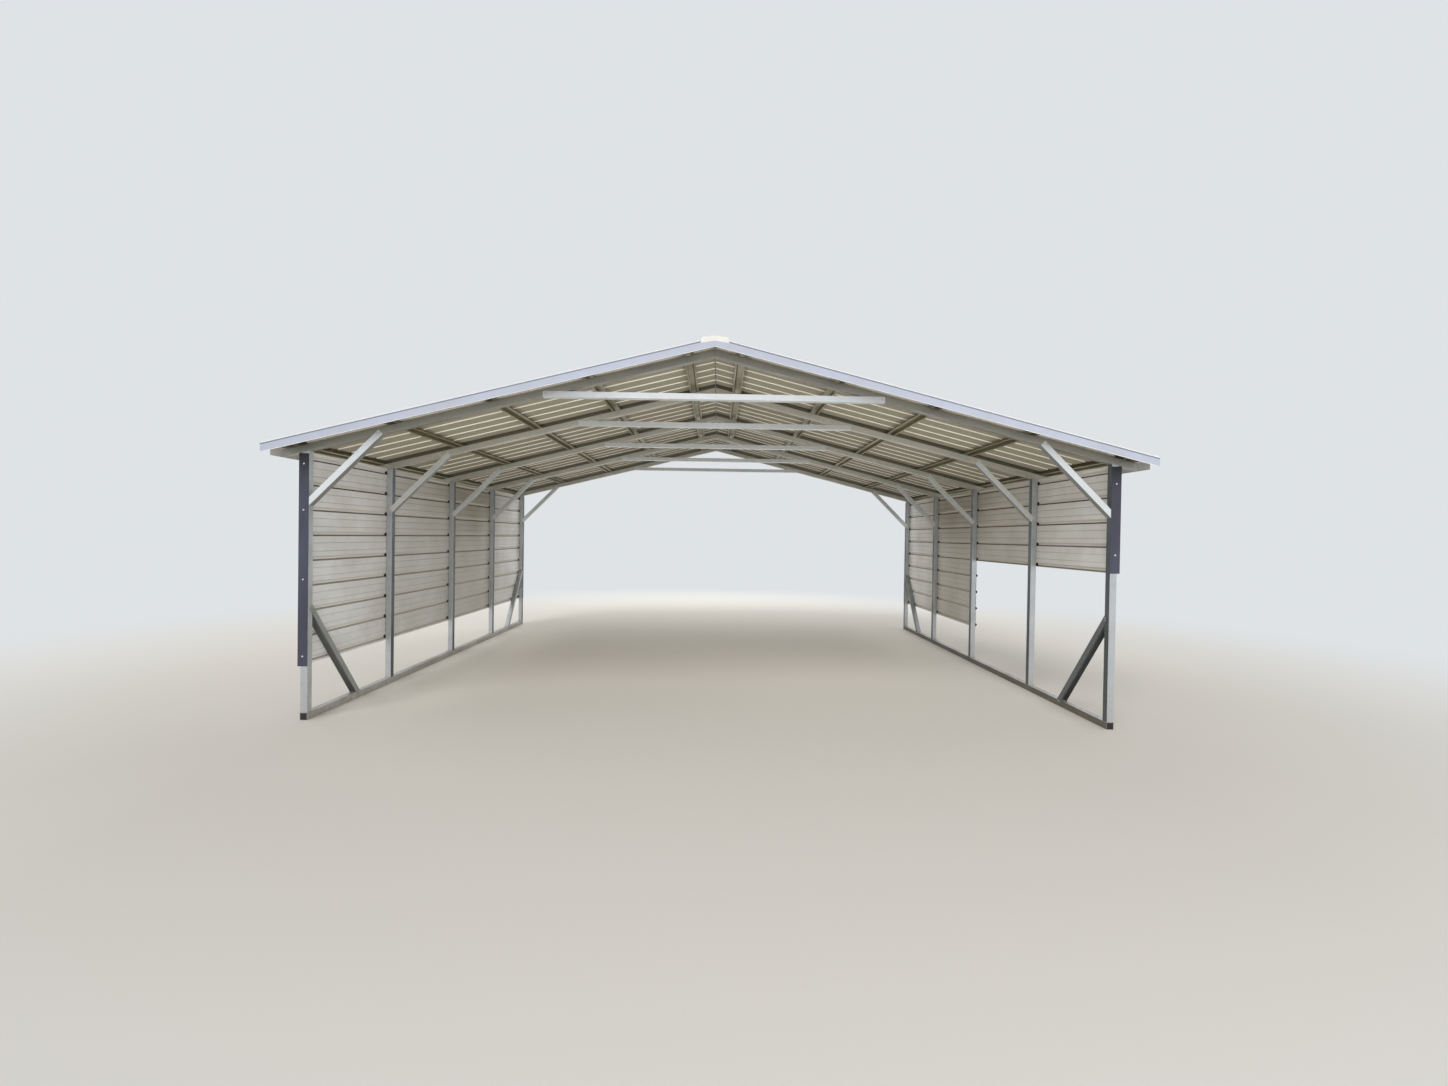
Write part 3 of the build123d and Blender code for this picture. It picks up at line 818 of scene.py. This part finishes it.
# %% Turn the screw to its surface and set it on the points
facing = add_node(screws, "GeometryNodeInputNamedAttribute",
                  {"data_type": "FLOAT_VECTOR", "Name": "facing"})
aimed = add_node(screws, "FunctionNodeAlignRotationToVector", {"axis": "Z"}, {"Vector": facing})
spin = add_node(screws, "FunctionNodeRandomValue", {"data_type": "FLOAT", 3: math.tau},
                {"Seed": given["Seed"]})
about = add_node(screws, "FunctionNodeAxisAngleToRotation", {"Axis": (0, 0, 1)},
                 {"Angle": spin.outputs[1]})
turned = add_node(screws, "FunctionNodeRotateRotation", {"rotation_space": "LOCAL"},
                  {"Rotation": aimed, "Rotate By": about})
placed = add_node(screws, "GeometryNodeInstanceOnPoints", None,
                  {"Points": given["Places"], "Instance": steel, "Rotation": turned})
real = add_node(screws, "GeometryNodeRealizeInstances", None, {"Geometry": placed})
is_rubber = add_node(screws, "GeometryNodeInputNamedAttribute", {"data_type": "BOOLEAN", "Name": "rubber"})
painted = add_node(screws, "GeometryNodeSetMaterial", None,
                   {"Geometry": real, "Material": given["Head Finish"]})
sealed = add_node(screws, "GeometryNodeSetMaterial", None, {"Geometry": painted, "Selection": is_rubber,
                   "Material": given["Rubber Finish"]})
add_node(screws, "NodeGroupOutput", None, {0: sealed})
print("Screw tree has", len(screws.nodes), "nodes")

# %% [markdown]
# The tree's result is turned into a plain mesh, because the model that leaves Blender keeps no
# instances. The modifier's sizes are set through each socket's identifier before Blender works
# the mesh out, and the modifier is removed afterwards.

# %% Run a tree once and keep its mesh
def grow(name, tree, mesh, values):
    piece = bpy.data.objects.new(name, mesh)
    bpy.context.scene.collection.objects.link(piece)
    modifier = piece.modifiers.new(tree.name, "NODES")
    modifier.node_group = tree
    for item in tree.interface.items_tree:
        if item.in_out == "INPUT" and item.name in values:
            modifier[item.identifier] = values[item.name]
    graph = bpy.context.evaluated_depsgraph_get()
    result = bpy.data.meshes.new_from_object(piece.evaluated_get(graph))
    piece.modifiers.clear()
    piece.data = result
    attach(piece, "root")
    return piece


def fasten(name, places, values):
    mesh = bpy.data.meshes.new(name)
    mesh.from_pydata([point for point, _ in places], [], [])
    facings = mesh.attributes.new("facing", "FLOAT_VECTOR", "POINT")
    facings.data.foreach_set("vector", [part for _, way in places for part in way])
    piece = grow(name, screws, mesh, values)
    print(name, len(places), "screws,", len(piece.data.polygons), "faces")


# %% Finishes of the screws
def small_part(name, colour, metallic, roughness):
    material, tree, place = blank_material(name)
    grain = add_node(tree, "ShaderNodeTexNoise", {"Scale": 300.0, "Detail": 3.0}, {"Vector": place})
    worn = [share * 0.72 for share in linear(colour)[:3]] + [1.0]
    surface = add_node(tree, "ShaderNodeMix",
                       {"data_type": "RGBA", 6: linear(colour), 7: worn}, {0: grain})
    skin = add_node(tree, "ShaderNodeBsdfPrincipled", {"Metallic": metallic, "Roughness": roughness},
                    {"Base Color": surface.outputs[2]})
    add_node(tree, "ShaderNodeOutputMaterial", None, {"Surface": skin})
    return material


painted_head = small_part("painted_screw_head", "#f4f4f2", 0.0, 0.35)
plated_head = small_part("zinc_plated_screw_head", "#e3e3dd", 1.0, 0.32)
rubber_ring = small_part("sealing_rubber", "#2a2a2b", 0.0, 0.7)
sheet_screw = {"Head Finish": painted_head, "Rubber Finish": rubber_ring}
frame_screw = {"Head Finish": plated_head, "Rubber Finish": plated_head, "Washer Radius": 0.0062,
               "Rubber Height": 0.0006, "Head Height": 0.0052, "Head Radius": 0.0047}
print("Screw finishes made")

# %% [markdown]
# ## Where the screws go
# The sheets are fixed beside their ribs wherever they cross a purlin or an inner post, so the
# places are counted out along the ribs and the purlins. The eave purlin, where wind lifts the
# edge, has a screw on either side of each rib.

# %% Roof screws, beside every rib on each purlin
def on_roof(side, run, y, lift):
    up_out = Vector((side * math.sin(slope), 0, math.cos(slope)))
    foot = Vector((side * run, y, pan_ridge - run * math.tan(slope)))
    return foot + up_out * lift, up_out


places = []
beside_rib = 0.038
for side in (-1, 1):
    for line, run in enumerate(purlin_lines):
        for number, rib in enumerate(rib_lines):
            shifts = [beside_rib] if number == 0 else [-beside_rib]
            if line == len(purlin_lines) - 1 and 0 < number < rib_count - 1:
                shifts = [-beside_rib, beside_rib]
            places += [on_roof(side, run, rib + shift, gauge) for shift in shifts]
fasten("roof_screws", places, sheet_screw)

# %% Wall screws, beside each rib on the inner posts
def on_wall(side, y, z):
    return Vector((side * (wall_plane + gauge), y, z)), Vector((side, 0, 0))


top_rib = 2.350
wall_rib_count = 9
upper_rib_count = 5
places = []
for side in (-1, 1):
    for number in range(wall_rib_count):
        for index, y in enumerate(frame_places):
            # On the right the two front bays have no lower sheet, and the corner trims bring
            # screws of their own.
            is_cut_away = side == 1 and number >= upper_rib_count and index < 2
            is_corner = index in (0, len(frame_places) - 1)
            if not is_cut_away and not is_corner:
                places.append(on_wall(side, y, top_rib - number * rib_pitch - beside_rib))
fasten("wall_screws", places, sheet_screw)

# %% [markdown]
# The corner trims have few screws, and the photograph shows where: four down the left front
# leg and two on the short right one. The rear trims and the side legs repeat that pattern.
# The ridge cap is fixed to every other rib, and a rake trim to the end rib under its flange.

# %% Trim screws
corner_outer = wall_plane + rib_rise + fit_gap + gauge
corner_front = rail_end + 0.0025 + gauge
from_fold = 0.044
left_heights = [2.288, 1.876, 1.257, 0.571]
right_heights = [2.224, 1.580]
places = []
for end in (-1, 1):
    for side in (-1, 1):
        heights = right_heights if (side == 1 and end == -1) else left_heights
        for z in heights:
            on_end = Vector((side * (corner_outer - from_fold), end * corner_front, z))
            on_side = Vector((side * corner_outer, end * (corner_front - from_fold), z))
            places += [(on_end, (0, end, 0)), (on_side, (side, 0, 0))]
fasten("corner_trim_screws", places, sheet_screw)

# %% Screws of the ridge cap and the rake trims
places = []
cap_slope = math.radians(9.3)
cap_peak = pan_ridge + 0.0301
cap_run = 0.092
cap_top = cap_peak - cap_run * math.tan(cap_slope) + gauge
rake_first = 0.30
rake_step = 0.575
for side in (-1, 1):
    for y in rib_lines[1::2]:
        way = (side * math.sin(cap_slope), 0, math.cos(cap_slope))
        places.append((Vector((side * cap_run, y, cap_top)), way))
for side in (-1, 1):
    for end in (-1, 1):
        for number in range(7):
            run = rake_first + number * rake_step
            places.append(on_roof(side, run, end * rib_lines[-1], rib_rise + gauge))
fasten("roof_trim_screws", places, sheet_screw)

# %% [markdown]
# ## Screws of the frame
# Each post stands on a stub, and both are screwed to a sleeve inside them, above and below the
# seam. Where no trim covers its top, a post is screwed to the rafter's sleeve as well. Each
# brace has a pair of screws through either flange at both ends, where the flanges lap the tubes.
# Their places are worked out along the brace: so far from its end, and so far up its flange.

# %% Screws at the seams of the posts
places = []
post_x = half_width - tube / 2
seam = tube + stub
from_seam = 0.040
below_eave = 0.100
for side in (-1, 1):
    for y in frame_places:
        for face in (-1, 1):
            heights = [seam - from_seam, seam + from_seam]
            if abs(y) < 2:
                heights.append(eave - below_eave)
            for z in heights:
                places.append((Vector((side * post_x, y + face * tube / 2, z)), (0, face, 0)))
fasten("post_screws", places, frame_screw)

# %% Screws of the braces
channel_wall = 0.0019
channel_half = tube / 2 + fit_gap + channel_wall


def along_brace(foot, along, across, outward, spots):
    found = []
    for distance, height in spots:
        middle = Vector(foot) + Vector(along) * distance + Vector(across) * height
        for face in (-1, 1):
            way = Vector(outward) * face
            found.append((middle + way * channel_half, way))
    return found


places = []
knee = math.radians(45)
knee_length = 0.915
knee_foot = eave + (tube + knee_length * math.cos(knee)) * math.tan(slope) - knee_length * math.sin(knee)
knee_spots = [(0.010, 0.024), (0.022, 0.042), (knee_length - 0.014, 0.022), (knee_length - 0.034, 0.042)]
tie_half = 1.531
tie_spots = [(0.025, 0.030), (0.090, 0.040)]
tie_height = eave + (half_width - tie_half) * math.tan(slope)
for y in frame_places:
    for side in (-1, 1):
        foot = (side * (half_width - tube), y, knee_foot)
        along = (-side * math.cos(knee), 0, math.sin(knee))
        across = (side * math.sin(knee), 0, math.cos(knee))
        # The corner trims cover the feet of the first and the last pair on their outer side.
        feet = along_brace(foot, along, across, (0, 1, 0), knee_spots[:2])
        places += [spot for spot in feet if abs(spot[0].y) < rail_end - 0.003]
        places += along_brace(foot, along, across, (0, 1, 0), knee_spots[2:])
        start = (side * tie_half, y, tie_height)
        places += along_brace(start, (-side, 0, 0), (0, 0, 1), (0, 1, 0), tie_spots)
low_angle = math.radians(52)
low_length = 1.219
low_spots = [(0.008, 0.020), (0.018, 0.040), (low_length - 0.006, 0.020), (low_length - 0.014, 0.040)]
for side in (-1, 1):
    for end in (-1, 1):
        top = (side * post_x, end * (rail_end - tube), tube + low_length * math.sin(low_angle))
        along = (0, -end * math.cos(low_angle), -math.sin(low_angle))
        across = (0, end * math.sin(low_angle), -math.cos(low_angle))
        places += along_brace(top, along, across, (1, 0, 0), low_spots)
fasten("brace_screws", places, frame_screw)

# %% [markdown]
# ## Welds
# The stubs are welded to the base rails, and the two halves of each rafter at the peak. A weld
# is a row of overlapping puddles, like coins pushed over. A tree follows each seam as a curve,
# sets a small flattened ball every few millimetres, and varies their size from a fixed seed.

# %% A Geometry Nodes tree for a weld bead
welds, given = new_tree("weld_bead", [
    ("Seams", "Geometry", None),
    ("Bead Width", "Float", 0.007),
    ("Ripple", "Float", 0.0035),
    ("Seed", "Int", 3),
    ("Finish", "Material", None),
])
line = add_node(welds, "GeometryNodeMeshToCurve", None, {0: given["Seams"]})
even = add_node(welds, "GeometryNodeResampleCurve", {"mode": "LENGTH"},
                {"Curve": line, "Length": given["Ripple"]})
radius = add_node(welds, "ShaderNodeMath", {"operation": "MULTIPLY", 1: 0.5}, {0: given["Bead Width"]})
puddle = add_node(welds, "GeometryNodeMeshUVSphere", {"Segments": 8, "Rings": 5}, {"Radius": radius})
tangent = add_node(welds, "GeometryNodeInputTangent")
aimed = add_node(welds, "FunctionNodeAlignRotationToVector", {"axis": "Z"}, {"Vector": tangent})
vary = add_node(welds, "FunctionNodeRandomValue",
                {"data_type": "FLOAT_VECTOR", 0: (0.85, 0.85, 0.5), 1: (1.1, 1.1, 0.75)},
                {"Seed": given["Seed"]})
placed = add_node(welds, "GeometryNodeInstanceOnPoints", None, {"Points": even, "Instance": puddle,
                   "Rotation": aimed, "Scale": vary})
real = add_node(welds, "GeometryNodeRealizeInstances", None, {"Geometry": placed})
smooth = add_node(welds, "GeometryNodeSetShadeSmooth", None, {0: real})
coated = add_node(welds, "GeometryNodeSetMaterial", None,
                  {"Geometry": smooth, "Material": given["Finish"]})
add_node(welds, "NodeGroupOutput", None, {0: coated})
print("Weld tree has", len(welds.nodes), "nodes")

# %% Lay the welds
weld_metal = small_part("cold_zinc_painted_weld", "#a9aaa8", 0.6, 0.5)
points = []
edges = []


def seam_line(corners, closed):
    start = len(points)
    points.extend(corners)
    edges.extend((start + i, start + i + 1) for i in range(len(corners) - 1))
    if closed:
        edges.append((start + len(corners) - 1, start))


proud = 0.0004
half = tube / 2 + proud
square = [(-half, -half), (half, -half), (half, half), (-half, half)]
for side in (-1, 1):
    for y in frame_places:
        seam_line([(side * post_x + dx, y + dy, tube + 0.0006) for dx, dy in square], True)
low = under_ridge - proud
high = top_ridge - 0.004
for y in frame_places:
    seam_line([(0, y - half, high), (0, y - half, low), (0, y + half, low), (0, y + half, high)], False)
seams = bpy.data.meshes.new("welds")
seams.from_pydata(points, edges, [])
weld_beads = grow("welds", welds, seams, {"Finish": weld_metal})
print("Welds laid on", len(frame_places) * 3, "seams,", len(weld_beads.data.polygons), "faces")
